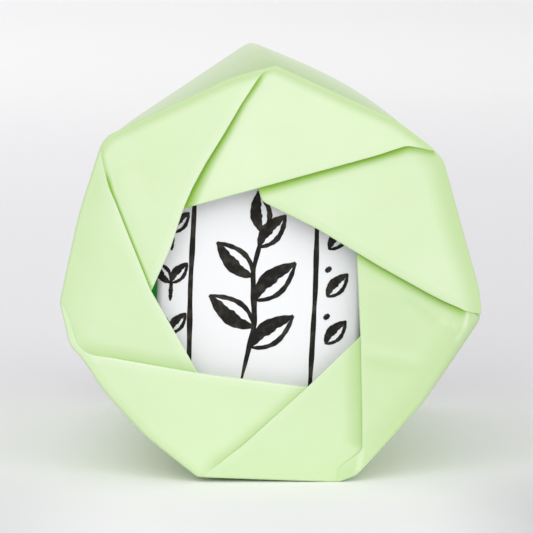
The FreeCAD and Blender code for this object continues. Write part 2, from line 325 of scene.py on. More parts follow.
def smooth_line(points, count, rounding):
    """Sample a line through points at even steps, with its kinks rounded by a moving average."""
    points = np.asarray(points, dtype=float)
    reach = np.concatenate([[0.0], np.cumsum(np.linalg.norm(np.diff(points, axis=0), axis=1))])
    fine = 400
    along = np.linspace(0, reach[-1], fine)
    line = np.stack([np.interp(along, reach, points[:, axis]) for axis in range(2)], axis=-1)
    half = max(1, int(rounding / reach[-1] * fine))
    before = line[0] + (line[0] - line[1]) * np.arange(half, 0, -1)[:, None]
    after = line[-1] + (line[-1] - line[-2]) * np.arange(1, half + 1)[:, None]
    padded = np.concatenate([before, line, after])
    window = np.hanning(2 * half + 3)[1:-1]
    window = window / window.sum()
    smooth = np.stack([np.convolve(padded[:, axis], window, mode="valid") for axis in range(2)], axis=-1)
    smooth[0] = points[0]
    pick = np.linspace(0, fine - 1, count)
    return np.stack([np.interp(pick, np.arange(fine), smooth[:, axis]) for axis in range(2)], axis=-1)


# The wrapper's shape

def outline_radius(turn, sides, power):
    """Distance from the middle to an outline of flat sides.

    It is 1 / (sum of (cos(turn - facing) / distance)^p)^(1/p) over the sides that face that way: a
    polygon whose corners are rounder the lower the power p is.
    """
    facing, distance = np.array(sides).T
    near = np.maximum(np.cos(turn[..., None] - np.radians(facing)), 0.0) / (distance * MM)
    nearest_side = near.max(axis=-1)
    share = near / nearest_side[..., None]
    return np.sum(share ** power[..., None], axis=-1) ** (-1 / power) / nearest_side


def wrapper_skin(turn, y):
    """Points of the paper's skin round the tin.

    The folded end's outline goes over to the open end's rounder one as 1 - (1 - t)^3, where t runs from 0
    at the front to 1 at the rear. A line along the sleeve turns evenly from its corner to the other one.
    """
    turn, y = np.broadcast_arrays(turn, y)
    depth = np.clip((y - FRONT) / (REAR - FRONT), 0.0, 1.0)
    change = 1 - (1 - depth) ** 3
    corners = np.radians(FRONT_CORNERS + (FRONT_CORNERS[0] + 360,))
    past = corners[0] + np.mod(turn - corners[0], 2 * math.pi)
    behind = np.interp(past, corners, np.radians(REAR_CORNERS + (REAR_CORNERS[0] + 360,)))
    power = 1 / np.interp(past, corners, 1 / np.array(REAR_SHARPNESS + REAR_SHARPNESS[:1]))
    front = outline_radius(turn, FRONT_SIDES, np.full_like(turn, FRONT_SHARPNESS))
    pinch_turn, pinch_height, pinch_width = PINCH
    front = front + pinch_height * MM * np.exp(-(np.degrees(past) - pinch_turn) ** 2 / pinch_width ** 2)
    rear = outline_radius(behind, REAR_SIDES, power)
    radius = front + (rear - front) * change
    middle = END_HEIGHT + (AXIS_HEIGHT - END_HEIGHT) * change
    turned = past + (behind - past) * depth
    height = np.maximum(middle + radius * np.cos(turned), 0.0)
    return np.stack([radius * np.sin(turned), y, height], axis=-1)


# How finely the paper is drawn.
SLEEVE_ROWS = 52
SECTOR_COLUMNS = 60
TUCK_COLUMNS = 6
SIDE_ROWS = 7
ROLL_ROWS = 13
FACE_ROWS = 90
TURN_COLUMNS = 11
HEM_COLUMNS = 6
FOLD_SAMPLES = 120
FINER = 5               # steps between two samples when a distance to a fold is read
ROW_CROWDING = 1.3      # power that brings a flap's rows closer together by its rim

# Distances at the folds and edges.
HELD_GAP = 0.01 * MM    # an edge to the row that keeps the shading flat up to it
FOLD_ROUNDING = 0.9 * MM
TIP_REACH = 5.0 * MM    # how far a fold runs on past its tip, under its neighbour
LEAST_GAP = 0.01 * MM   # keeps a division by a ruling's width from failing
LEAST_SUM = 0.001 * MM  # keeps a division by a sum of two distances from failing

# Parts of a fold's length, from its corner of the rim.
TIP_PART = 0.9          # where the covering fold is taken to meet a flap's own fold
TUCK_START = 0.06       # over which the tuck first opens
TUCK_OPEN = 0.25        # over which the tuck opens fully, past the knee
LIFT_PART = 0.55        # where the lift reaches its value by the window
LIFT_FADE = 0.4         # over which the lift then goes down to the tip
BULGE_START = 0.1       # over which the paper's turn grows, past the knee
CREASE_FADE = 0.3       # of a wrinkle's length, over which its ends die away

TUCK_AT_RIM = 0.12      # share of the tuck that opens at the rim
LIFT_LOST = 0.85        # share of the lift that is gone at the tip
HEM_SHARE = 0.6         # widest hem, as a share of the fold's distance from the rim
MOST_HIDDEN = 0.5       # largest share of a ruling that lies under the covering fold


def even_ends(count):
    """Numbers from 0 to 1 that lie closer together towards both ends: (1 - cos(pi t)) / 2."""
    return (1 - np.cos(np.linspace(0, math.pi, count))) / 2


def held_ends(count, length):
    """Even numbers from 0 to 1, with one more close to each end, for a stretch of some length."""
    near = HELD_GAP / length
    return np.concatenate([[0.0, near], np.linspace(0, 1, count - 2)[1:-1], [1.0 - near, 1.0]])


def unit(vectors):
    """Scale each vector to length one."""
    return vectors / np.linalg.norm(vectors, axis=-1, keepdims=True)


def sector_turns(number, across):
    """Turns from a flap's first corner to its fold's corner."""
    start = FRONT_CORNERS[number]
    end = (FRONT_CORNERS + (FRONT_CORNERS[0] + 360,))[number + 1]
    return np.radians(start + (end - start) * across)


def side_corners():
    """Turns at which neighbouring sides of the folded end meet: where their straight lines cross."""
    facing, distance = np.array(FRONT_SIDES).T
    facing = np.radians(facing)
    after, reach = np.roll(facing, -1), np.roll(distance, -1)
    cross = np.sin(facing - after)
    x = (distance * np.cos(after) - reach * np.cos(facing)) / cross
    z = (reach * np.sin(facing) - distance * np.sin(after)) / cross
    return np.arctan2(x, z)


def column_turns(number):
    """Turns of a flap's columns: closer together at its ends, and one on each corner of the rim."""
    turn = sector_turns(number, even_ends(SECTOR_COLUMNS))
    for corner in side_corners():
        corner = turn[0] + np.mod(corner - turn[0], 2 * math.pi)
        if turn[1] < corner < turn[-2]:
            turn[np.argmin(np.abs(turn - corner))] = corner
    return turn


def rim_line(number):
    """Turns, roll radius, outward direction and inner rim of a flap."""
    across = even_ends(SECTOR_COLUMNS)
    turn = column_turns(number)
    radius = np.interp(smooth_step(across), (0, 0.5, 1), np.array(FLAPS[number].rim) * MM)
    outline = wrapper_skin(turn, FRONT + radius)[:, [0, 2]]
    along = unit(np.gradient(outline, axis=0))
    local = np.stack([-along[:, 1], along[:, 0]], axis=-1)
    outward = unit(local + unit(local.mean(axis=0)))
    return turn, radius, outward, outline - radius[:, None] * outward


def inner_rim(number):
    """The line at which a flap's face begins, in the plane of the flaps."""
    return rim_line(number)[3]


def fold_line(number):
    """Fold of a flap in the plane of the flaps, from its corner of the rim to past its tip."""
    corner = inner_rim(number)[-1]
    drawn = [corner] + [np.array([x * MM, END_HEIGHT + z * MM]) for x, z in FLAPS[number].fold]
    drawn.append(drawn[-1] + unit(drawn[-1] - drawn[-2]) * TIP_REACH)
    return smooth_line(drawn, FOLD_SAMPLES, FOLD_ROUNDING)


def covering_fold(number):
    """Fold of the flap before, which lies over this one."""
    return fold_line((number - 1) % FOLDS)


def read_line(line, place):
    """Points of a sampled line at places from 0 to its length in samples."""
    return np.stack([np.interp(place, np.arange(len(line)), line[:, axis]) for axis in range(2)], axis=-1)


def nearest(plan, line):
    """Distance from each point of the plan to a sampled line, read at finer steps."""
    fine = read_line(line, np.linspace(0, len(line) - 1, FINER * len(line)))
    return np.linalg.norm(plan[..., None, :] - fine, axis=-1).min(axis=-1)


def along_line(plan, line):
    """How far along a sampled line, from 0 to 1, the sample nearest to each point of the plan lies."""
    return np.linalg.norm(plan[..., None, :] - line, axis=-1).argmin(axis=-1) / (len(line) - 1)


def crease_marks(number, plan):
    """Height of a flap's wrinkles, and the painted highlight or painted shade along them.

    The height falls off as exp(-distance / spread) to either side of a line, the painted light as
    exp(-(distance / width)^2), where the width is a sixth of the sum of both spreads.
    """
    height = np.zeros(plan.shape[:-1])
    pale = np.zeros(plan.shape[:-1])
    for crease in CREASES:
        if crease.flap == number:
            start = np.array(crease.start) * MM + np.array([0, END_HEIGHT])
            reach = np.array(crease.end) * MM + np.array([0, END_HEIGHT]) - start
            away = plan - start
            part = np.sum(away * reach, axis=-1) / np.sum(reach * reach)
            beside = (reach[0] * away[..., 1] - reach[1] * away[..., 0]) / np.linalg.norm(reach)
            spread = np.where(beside > 0, crease.left, crease.right) * MM
            inside = smooth_step(part / CREASE_FADE + 0.5) * smooth_step((1 - part) / CREASE_FADE + 0.5)
            height += crease.height * MM * np.exp(-np.abs(beside) / spread) * inside
            width = (crease.left + crease.right) / 6 * MM
            # painted highlight where the paleness is above zero, painted shade below zero
            pale += crease.pale * np.exp(-(beside / width) ** 2) * inside
    return height, pale


def side_of(line, other):
    """Directions square to a line, on the side away from another one."""
    ahead = unit(np.gradient(line, axis=0))
    square = np.stack([-ahead[:, 1], ahead[:, 0]], axis=-1)
    return square * np.sign(np.sum(square * (line - other)))


def stand_up(number, places, lift, wrapper):
    """How far a flap's paper stands up at places in the plane of the flaps.

    It goes from sunk, under the covering fold, to lifted, at its own fold, by the share of the distances
    to both. The wrinkles come on top, and all of it dies away towards the rim.
    """
    from_over = nearest(places, covering_fold(number))
    share = smooth_step(from_over / np.maximum(from_over + nearest(places, fold_line(number)), LEAST_SUM))
    height = lift * share - wrapper.sink * (1 - share) + crease_marks(number, places)[0]
    return height * smooth_step(nearest(places, inner_rim(number)) / wrapper.rise)


def rolled_rim(number, wrapper):
    """Rows of a flap's side, rows of the quarter circle that rolls it over the rim, and how far they turn.

    The side follows the wrapper's skin. The turn goes from 0 at the side to 1 at the face.
    """
    turn, radius, outward, _ = rim_line(number)
    start = FRONT + wrapper.strip
    side_y = start + (FRONT + radius - start) * held_ends(SIDE_ROWS, wrapper.strip)[:-2, None]
    side = wrapper_skin(turn[None], side_y)
    bend = np.linspace(0, math.pi / 2, ROLL_ROWS)[:-1, None]
    edge = wrapper_skin(turn, FRONT + radius)
    inset = radius * (1 - np.cos(bend))
    roll = np.stack([
        edge[:, 0] - inset * outward[:, 0],
        FRONT + radius * (1 - np.sin(bend)),
        edge[:, 2] - inset * outward[:, 1],
    ], axis=-1)
    return side, roll, bend[:, 0] / (math.pi / 2)


def face_plan(number, wrapper):
    """Plan of a flap's face, ruled between its tucked side and its fold.

    Where the fold first runs along the rim, up to its knee, the plan is ruled between the rim and the fold.
    One column of each row lies on the covering fold, so that its shade starts on an edge. Returns the plan,
    empty past the knee, how far along the fold each row is, the points of the fold and of the tucked side
    at each row, and the row and the column of the knee.
    """
    rim, fold, over = inner_rim(number), fold_line(number), covering_fold(number)
    across = even_ends(SECTOR_COLUMNS)
    along = np.linspace(0, 1, FACE_ROWS) ** ROW_CROWDING
    own = read_line(fold, along * (FOLD_SAMPLES - 1))
    meet = np.argmin(np.linalg.norm(over - fold[int(FOLD_SAMPLES * TIP_PART)], axis=1))
    neighbour = read_line(over, along * meet)
    covered = smooth_step((along * meet / (FOLD_SAMPLES - 1) - FLAPS[number - 1].knee) / TUCK_OPEN)
    under = wrapper.tuck * (TUCK_AT_RIM * smooth_step(along / TUCK_START) + (1 - TUCK_AT_RIM) * covered)
    away = side_of(neighbour, own)
    tucked = neighbour + away * under[:, None]
    ruling = own - tucked
    past = np.argmax(along >= FLAPS[number].knee)
    last = np.argmin(np.linalg.norm(rim - own[past], axis=1))
    hidden = np.clip(under / np.maximum(-np.sum(ruling * away, axis=-1), LEAST_GAP), 0, MOST_HIDDEN)[:, None]
    spread = np.concatenate([
        hidden * np.linspace(0, 1, TUCK_COLUMNS + 1)[:-1],
        hidden + (1 - hidden) * even_ends(last + 1 - TUCK_COLUMNS),
    ], axis=1)
    flat = tucked[:, None] + ruling[:, None] * spread[..., None]
    back_along = (1 - across[last + 1:]) / (1 - across[last])
    knee = read_line(fold, back_along * along[past] * (FOLD_SAMPLES - 1))
    begun = (along[:past] / along[past])[:, None, None]
    plan = np.full((FACE_ROWS, SECTOR_COLUMNS, 2), np.nan)
    plan[past:, :last + 1] = flat[past:]
    plan[past, last + 1:] = knee
    plan[:past] = rim + (plan[past] - rim) * begun
    return plan, along, own, tucked, past, last


def turned_hem(number, wrapper, line, tucked, from_knee, lift):
    """Points of the paper past a flap's fold: half a circle, then a hem that runs back under the flap."""
    out = side_of(line, tucked)
    bulge = (wrapper.fold_radius * smooth_step(from_knee / BULGE_START))[:, None]
    width = np.minimum(wrapper.hem, HEM_SHARE * nearest(line, inner_rim(number)))[:, None]
    around = np.linspace(0, math.pi, TURN_COLUMNS)[1:]
    back = np.linspace(0, 1, HEM_COLUMNS)[1:]
    reach = np.concatenate([bulge * np.sin(around), -width * back], axis=1)
    drop = wrapper.fold_radius * np.concatenate([1 - np.cos(around), np.full(len(back), 2.0)])
    below = line[:, None] + reach[..., None] * out[:, None]
    y = FRONT - stand_up(number, below, lift[:, None], wrapper) + drop
    return np.stack([below[..., 0], y, below[..., 1]], axis=-1)


def flap_grid(number, wrapper):
    """Points and quads of one flap, and how far each point has rolled over the rim.

    Its rows run from the side, over the rim, to its tip, and its columns to its fold and on into its hem.
    """
    side, roll, rolled = rolled_rim(number, wrapper)
    plan, along, own, tucked, past, last = face_plan(number, wrapper)
    by_rim, by_window = FLAPS[number].lift
    lift = by_rim + (by_window - by_rim) * smooth_step(along / LIFT_PART)
    lift = lift * MM * (1 - LIFT_LOST * smooth_step((along - LIFT_PART) / LIFT_FADE))
    y = FRONT - stand_up(number, plan, lift[:, None], wrapper)
    face = np.stack([plan[..., 0], y, plan[..., 1]], axis=-1)
    hem = turned_hem(number, wrapper, own[past:], tucked[past:], along[past:] - along[past], lift[past:])

    sheet = np.concatenate([side, roll, face], axis=0)
    index = grid_index(*sheet.shape[:2])
    hem_index = grid_index(*hem.shape[:2], index.size)
    hem_index = np.concatenate([index[-len(hem):, last, None], hem_index], axis=1)
    quads = grid_faces(index)
    quads = quads[np.isfinite(sheet.reshape(-1, 3)[quads]).all(axis=(-1, -2))]
    quads = np.concatenate([quads, grid_faces(hem_index).reshape(-1, 4)])[:, ::-1]
    rolled = np.concatenate([np.zeros(len(side)), rolled, np.ones(FACE_ROWS)])
    rolled = np.concatenate([np.repeat(rolled, SECTOR_COLUMNS), np.ones(hem.size // 3)])
    points = np.nan_to_num(np.concatenate([sheet.reshape(-1, 3), hem.reshape(-1, 3)]))
    return points, quads, rolled


# Bruising, painted highlight and painted shade on the paper: depths from 0 to 1, distances in millimetres

SIDE_PAINTED_SHADE = 0.3             # painted shade on the wrapper's side by the folded end
SLEEVE_HIGHLIGHT = 0.8           # painted highlight, growing towards the sleeve's open end
BRUISE_LIGHT_DEPTH = 0.5          # pale line along a fold: bruising and painted highlight
BRUISE_LIGHT_WIDTH = 0.3
LIP_DEPTH = 0.4             # paler lip beside that line: bruising and painted highlight
LIP_WIDTH = 1.4
LIP_FADE = 0.5
SHADE_TAIL_DEPTH = 0.12           # faint painted shade that runs on past the shade under a fold
SHADE_TAIL_REACH = 3.0
KNEE_FADE = 0.08            # part of a fold over which its shade changes at the knee
KNEE_SHIFT = 0.6            # how far that change has come at the knee


def paper_shading(number, points, rolled):
    """How much bruising, painted highlight and painted shade a flap's paper has at its points.

    A fold is bruised pale with a painted highlight, as a line that falls off as exp(-(d / width)^2) and a
    lip beside it, and gets painted shade where its paleness is below zero. Under the covering fold the
    painted shade falls off evenly over its reach. The rim has a band of painted shade of its own, the whole
    flap a painted shade of its own, and the side the same painted shade all round. A pale wrinkle takes the
    painted shade away.
    """
    flap, before = FLAPS[number], FLAPS[number - 1]
    over = covering_fold(number)
    plan = points[:, [0, 2]]
    on_face = smooth_step((rolled - 0.5) / 0.5)
    to_fold = nearest(plan, fold_line(number)) / MM
    to_over = nearest(plan, over) / MM
    to_rim = nearest(plan, inner_rim(number)) / MM
    # painted highlight and painted shade of the wrinkles
    crease = crease_marks(number, plan)[1]
    # bruised line and lip along the fold, partly painted highlight; painted shade below zero
    line = BRUISE_LIGHT_DEPTH * np.exp(-(to_fold / BRUISE_LIGHT_WIDTH) ** 2)
    lip = LIP_DEPTH * smooth_step((LIP_WIDTH - to_fold) / LIP_FADE)
    bruise_and_painted_light = flap.pale * (line + lip) * on_face
    along = along_line(plan, over)
    # painted shade under the covering fold, with a faint tail, weaker along its knee
    depth, by_rim, by_window, at_knee = before.shade
    past_knee = at_knee + (1 - at_knee) * smooth_step((along - before.knee) / KNEE_FADE + KNEE_SHIFT)
    shade = depth * np.clip(1 - to_over / (by_rim + (by_window - by_rim) * along), 0, 1)
    shade_tail = SHADE_TAIL_DEPTH * np.clip(1 - to_over / SHADE_TAIL_REACH, 0, 1)
    shade = np.clip((shade + shade_tail) * past_knee, 0, 1)
    shade = np.maximum(shade * on_face, -np.minimum(bruise_and_painted_light, crease))
    # painted shade along the rim
    rim_shade_depth, rim_shade_reach = flap.rim_shade
    rim_shade = rim_shade_depth * (1 - smooth_step(to_rim / rim_shade_reach))
    # painted shade over the whole flap, then the painted shade under the fold or along the rim
    painted_shade = flap.painted_flap_shade + (1 - flap.painted_flap_shade) * np.maximum(shade, rim_shade)
    # the side and the roll over the rim take the side's painted shade
    painted_shade = SIDE_PAINTED_SHADE + (painted_shade * (1 - np.clip(crease, 0, 1)) - SIDE_PAINTED_SHADE) * smooth_step(rolled)
    # the fold attribute holds bruising and painted highlight, the other the painted shade
    return {"fold": np.maximum(bruise_and_painted_light, crease), "painted_shade": painted_shade}


# The label's drawing, in millimetres right of and above the label's middle

STROKE_ROWS = 40
STROKE_ROUNDING = 1.5
STROKE_END = 0.02           # part of a stroke at each end over which its width stays the same


def brush_stroke(points, width, press=0.5):
    """Points of a brush stroke, whose width swells as 1/4 + 3/4 sin(pi t)^press and wavers by a sixth."""
    line = smooth_line(np.array(points, dtype=float), STROKE_ROWS, STROKE_ROUNDING)
    t = np.linspace(0, 1, STROKE_ROWS)
    swell = 0.25 + 0.75 * np.sin(math.pi * np.clip(t, STROKE_END, 1 - STROKE_END)) ** press
    waver = 1 + 0.1 * np.sin(19 * t + points[0][0]) + 0.07 * np.sin(43 * t + points[0][1])
    ahead = unit(np.gradient(line, axis=0))
    square = np.stack([ahead[:, 1], -ahead[:, 0]], axis=-1)
    half = (width / 2 * swell * waver)[:, None]
    return np.stack([line - square * half, line, line + square * half], axis=1)


def leaf_strokes(base, lean, length, width, pen):
    """A leaf in three strokes: two edges that bow out as sin(pi t^0.85), and a dark half.

    The lean is in degrees to the right of straight up.
    """
    angle = math.radians(lean)
    along = np.array([math.sin(angle), math.cos(angle)])
    aside = np.array([along[1], -along[0]])
    t = np.linspace(0, 1, 9)[:, None]
    bow = np.sin(math.pi * t ** 0.85) * width / 2
    middle = np.array(base) + along * length * t
    return [
        brush_stroke(middle + aside * bow, pen),
        brush_stroke(middle - aside * bow, pen),
        brush_stroke(middle - aside * bow * 0.5, width * 0.55, 1.0),
    ]


def label_strokes():
    """The strokes of the drawing: two ruled lines, and a tea sprig between smaller sprigs."""
    left_rule = ((-11.3, -20.0), (-11.6, 0.0), (-11.2, 20.0))
    right_rule = ((9.0, -20.0), (9.4, 0.0), (9.2, 20.0))
    stem = ((-2.6, -16.0), (-0.6, -6.0), (-1.2, 3.0), (0.4, 10.0))
    strokes = [brush_stroke(rule, width=0.85, press=0.08) for rule in (left_rule, right_rule)]
    strokes.append(brush_stroke(stem, width=0.95))
    for base, lean, length in (
            ((-1.2, -10.0), 52, 9.0), ((-0.7, -6.5), -56, 9.2), ((-0.8, -2.0), 46, 9.4),
            ((-1.1, 2.0), -48, 8.4), ((-0.3, 7.0), 38, 7.0), ((0.3, 9.5), -8, 7.0)):
        strokes += leaf_strokes(base, lean, length, width=length * 0.42, pen=0.85)
    for height in (-8.0, 0.5, 9.0):
        for lean in (-38, 38):
            strokes += leaf_strokes((-14.9, height), lean, length=4.4, width=2.0, pen=0.6)
        strokes.append(brush_stroke(((-14.9, height - 3.0), (-14.8, height + 0.3)), width=0.7))
    for height in (-9.0, -1.0, 7.0):
        strokes += leaf_strokes((11.4, height), lean=40, length=5.2, width=2.4, pen=0.65)
        strokes.append(brush_stroke(((11.0, height + 4.2), (11.9, height + 5.0)), width=0.9))
    return strokes


# Materials

MIX_SHARE, MIX_START, MIX_END = 0, 6, 7     # inputs of a mix of two colours
MIX_RESULT = 2                              # its output


def add_node(tree, kind, inputs=None, **settings):
    """Add a node with its settings, and fill its inputs with values or with other nodes' outputs."""
    node = tree.nodes.new(kind)
    for option, value in settings.items():
        setattr(node, option, value)
    for key, value in (inputs or {}).items():
        if isinstance(value, bpy.types.NodeSocket):
            tree.links.new(value, node.inputs[key])
        else:
            node.inputs[key].default_value = value
    return node


def new_material(name):
    """Start a material. Returns it, its tree, and the output that gives places on its piece."""
    material = bpy.data.materials.new(name)
    material.use_nodes = True
    tree = material.node_tree
    tree.nodes.clear()
    return material, tree, add_node(tree, "ShaderNodeTexCoord").outputs["Object"]


def noise(tree, place, size, detail, roughness=0.5):
    """Noise whose lumps have a size in millimetres."""
    return add_node(tree, "ShaderNodeTexNoise", {
        "Vector": place, "Scale": 1 / (size * MM), "Detail": detail, "Roughness": roughness}).outputs["Fac"]


def mapped(tree, value, low, high, to_low=0.0, to_high=1.0, ease="LINEAR"):
    """Bring a value from one range to another, and hold it there."""
    return add_node(tree, "ShaderNodeMapRange", {
        "Value": value, "From Min": low, "From Max": high, "To Min": to_low, "To Max": to_high},
        interpolation_type=ease).outputs["Result"]


def mixed(tree, share, start, end):
    """Mix two colours, by the share of the second one."""
    return add_node(tree, "ShaderNodeMix", {
        MIX_SHARE: share, MIX_START: start, MIX_END: end}, data_type="RGBA").outputs[MIX_RESULT]


def bump(tree, height, strength, distance, **over):
    """Raise a surface by a height, with a distance in millimetres, over another normal if one is given."""
    return add_node(tree, "ShaderNodeBump", {
        "Height": height, "Strength": strength, "Distance": distance * MM, **over}).outputs["Normal"]


def add_surface(tree, inputs):
    """Add the surface and the material's output."""
    surface = add_node(tree, "ShaderNodeBsdfPrincipled", inputs)
    add_node(tree, "ShaderNodeOutputMaterial", {"Surface": surface.outputs["BSDF"]})


def wrapper_paper(finish):
    """Uncoated dyed paper: matte, faintly mottled, with a fine felt grain, pale where it is creased, with
    painted highlight along folds and painted shade read from its pieces' attributes.
    """
    material, tree, place = new_material("Dyed wrapping paper")
    cloud = mapped(tree, noise(tree, place, size=14, detail=3.0), 0.3, 0.7, to_high=0.35)
    # bruising and painted highlight along folds and wrinkles, from the piece's attribute
    fold = add_node(tree, "ShaderNodeAttribute", attribute_name="fold").outputs["Fac"]
    # painted shade, from the piece's attribute
    painted_shade = add_node(tree, "ShaderNodeAttribute", attribute_name="painted_shade").outputs["Fac"]
    pale = mixed(tree, cloud, finish.paper, finish.paper_pale_and_highlight)
    bruised_and_lit = mixed(tree, fold, pale, finish.paper_pale_and_highlight)
    shaded = mixed(tree, painted_shade, bruised_and_lit, finish.paper_painted_shade)
    grain = noise(tree, place, size=0.5, detail=4.0, roughness=0.6)
    cockle = noise(tree, place, size=9, detail=2.0)
    fine = bump(tree, grain, strength=0.35, distance=0.02)
    waved = bump(tree, cockle, strength=0.45, distance=0.6, Normal=fine)
    add_surface(tree, {
        "Base Color": shaded, "Roughness": 0.82, "Specular IOR Level": 0.3, "Normal": waved})
    return material


def label_paper(finish):
    """Smooth white label stock: matte, with a faint even tooth."""
    material, tree, place = new_material("White label paper")
    tooth = noise(tree, place, size=0.4, detail=3.0)
    add_surface(tree, {
        "Base Color": finish.label, "Roughness": 0.7,
        "Normal": bump(tree, tooth, strength=0.2, distance=0.02)})
    return material


def brush_ink(finish):
    """Carbon ink laid with a brush: near black, thinner and browner where the brush ran dry."""
    material, tree, place = new_material("Brush ink")
    wash = mapped(tree, noise(tree, place, size=1.5, detail=4.0), 0.45, 0.75, to_high=0.7)
    tone = mixed(tree, wash, finish.ink, finish.ink_dry)
    add_surface(tree, {"Base Color": tone, "Roughness": 0.7, "Specular IOR Level": 0.2})
    return material


def lacquer(finish):
    """Stoved lacquer on tinplate: deep green under a clear gloss, with a slight orange peel."""
    material, tree, place = new_material("Green tin lacquer")
    peel = noise(tree, place, size=1.2, detail=2.0)
    add_surface(tree, {
        "Base Color": finish.lacquer, "Roughness": 0.38, "Specular IOR Level": 0.25, "Coat Weight": 0.15,
        "Coat Roughness": 0.12, "Normal": bump(tree, peel, strength=0.08, distance=0.02)})
    return material


def bare_metal(name, colour, roughness, stretch):
    """Rolled sheet or turned metal: fine lines one way, which stretch the highlights across them."""
    material, tree, place = new_material(name)
    lines = add_node(tree, "ShaderNodeMapping", {"Vector": place, "Scale": stretch}).outputs["Vector"]
    rolled = noise(tree, lines, size=0.8, detail=4.0)
    rough = mapped(tree, rolled, 0.0, 1.0, to_low=roughness - 0.08, to_high=roughness + 0.12)
    add_surface(tree, {
        "Base Color": colour, "Metallic": 1.0, "Roughness": rough,
        "Normal": bump(tree, rolled, strength=0.08, distance=0.01)})
    return material


def stage_paper(finish):
    """Seamless backdrop paper: matte, paler to the back, with painted shade that darkens it to both sides of
    the object and towards the front, and kept pale near the object so that its shadow is painted lighter.
    """
    material, tree, place = new_material("Backdrop paper")
    x, y, _ = add_node(tree, "ShaderNodeSeparateXYZ", {"Vector": place}).outputs
    back = mapped(tree, y, 0.05, 0.9)
    right = mapped(tree, x, 0.02, 0.05, to_high=0.8, ease="SMOOTHSTEP")
    left = mapped(tree, x, -0.02, -0.05, to_high=0.42, ease="SMOOTHSTEP")
    before = mapped(tree, y, -0.02, -0.07, to_low=0.4, ease="SMOOTHSTEP")
    # share of painted shade: to both sides, growing towards the front
    aside = add_node(tree, "ShaderNodeMath", {0: right, 1: left}, operation="ADD").outputs["Value"]
    around = add_node(tree, "ShaderNodeMath", {0: aside, 1: before}, operation="MULTIPLY").outputs["Value"]
    near = mixed(tree, around, finish.floor_near, finish.floor_painted_shade)
    tone = mixed(tree, back, near, finish.floor_far)
    add_surface(tree, {"Base Color": tone, "Roughness": 0.9, "Specular IOR Level": 0.2})
    return material


# Operators

LABEL_COLUMNS = 33
LABEL_ROWS = 41
STROKE_STEP = 0.03          # how much higher each stroke lies than the last, as a share of the ink's height


def settings():
    """The scene's settings of the tea caddy."""
    return bpy.context.scene.tea_caddy


def shared_material(make, finish):
    """Return a finish, made once."""
    key = make.__name__
    if key not in shared_material.made:
        shared_material.made[key] = make(finish)
    return shared_material.made[key]


shared_material.made = {}


class TEACADDY_OT_sleeve(bpy.types.Operator):
    """Build the paper tube round the tin"""

    bl_idname = "teacaddy.sleeve"
    bl_label = "Paper Sleeve"

    def execute(self, context):
        wrapper = settings().wrapper
        turn = np.concatenate([column_turns(number)[:-1] for number in range(FOLDS)])
        start = FRONT + wrapper.strip
        behind = held_ends(SLEEVE_ROWS, REAR - start)[:, None]
        skin = wrapper_skin(turn[None], start + (REAR - start) * behind)
        quads = grid_faces(grid_index(*skin.shape[:2]), around=True)
        behind = np.broadcast_to(behind, skin.shape[:2])
        # painted highlight towards the open end, painted shade on the side by the folded end
        shading = {"fold": SLEEVE_HIGHLIGHT * behind, "painted_shade": SIDE_PAINTED_SHADE * (1 - behind)}
        sleeve = mesh_piece("paper_sleeve", skin, quads, shading)
        solidify(sleeve, wrapper.paper)
        sleeve.data.materials.append(shared_material(wrapper_paper, settings().finish))
        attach(sleeve, "wrapper")
        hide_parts("wrapper_sleeve")
        return {"FINISHED"}


class TEACADDY_OT_flaps(bpy.types.Operator):
    """Build the seven folded flaps"""

    bl_idname = "teacaddy.flaps"
    bl_label = "Folded Flaps"

    def execute(self, context):
        wrapper = settings().wrapper
        for number in range(FOLDS):
            self.build_flap(number, wrapper)
        return {"FINISHED"}

    def build_flap(self, number, wrapper):
        """Make one flap in place of the CAD model's one."""
        points, quads, rolled = flap_grid(number, wrapper)
        # bruising, painted highlight and painted shade, kept as attributes of the mesh
        shading = paper_shading(number, points, rolled)
        flap = mesh_piece(f"paper_flap_{number + 1}", points, quads, shading)
        solidify(flap, wrapper.paper)
        flap.data.materials.append(shared_material(wrapper_paper, settings().finish))
        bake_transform(flap)
        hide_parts(f"wrapper_flap_{number + 1}")


class TEACADDY_OT_label(bpy.types.Operator):
    """Build the lid's label and its brush drawing"""

    bl_idname = "teacaddy.label"
    bl_label = "Lid Label"

    def execute(self, context):
        size = settings().label
        low, high = (np.array(corner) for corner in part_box("lid_label"))
        x = np.linspace(-0.5, 0.5, LABEL_COLUMNS) * size.width
        z = np.linspace(-0.5, 0.5, LABEL_ROWS) * size.height
        sheet = self.on_lid(np.stack(np.meshgrid(x, z), axis=-1), low, high, 0.0)
        label = mesh_piece("label_sheet", sheet, grid_faces(grid_index(*sheet.shape[:2])))
        solidify(label, high[1] - low[1])
        label.data.materials.append(shared_material(label_paper, settings().finish))
        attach(label, "lid")
        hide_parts("lid_label")

        strokes = np.concatenate(label_strokes()) * MM
        rows, columns = strokes.shape[:2]
        quads = grid_faces(grid_index(rows, columns))
        kept = np.arange(rows - 1) % STROKE_ROWS != STROKE_ROWS - 1
        layer = np.arange(rows)[:, None] // STROKE_ROWS
        ink = self.on_lid(strokes, low, high, size.ink * (1 + STROKE_STEP * layer))
        drawing = mesh_piece("label_drawing", ink, quads[kept])
        drawing.data.materials.append(shared_material(brush_ink, settings().finish))
        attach(drawing, "lid")
        return {"FINISHED"}

    def on_lid(self, plan, low, high, proud):
        """Lay points of the label's own plane on the lid, leaning as the label does."""
        lean = settings().label.lean
        middle = (low + high) / 2
        x = middle[0] + plan[..., 0] * math.cos(lean) + plan[..., 1] * math.sin(lean)
        z = middle[2] - plan[..., 0] * math.sin(lean) + plan[..., 1] * math.cos(lean)
        return np.stack([x, np.broadcast_to(low[1] - proud, x.shape), z], axis=-1)


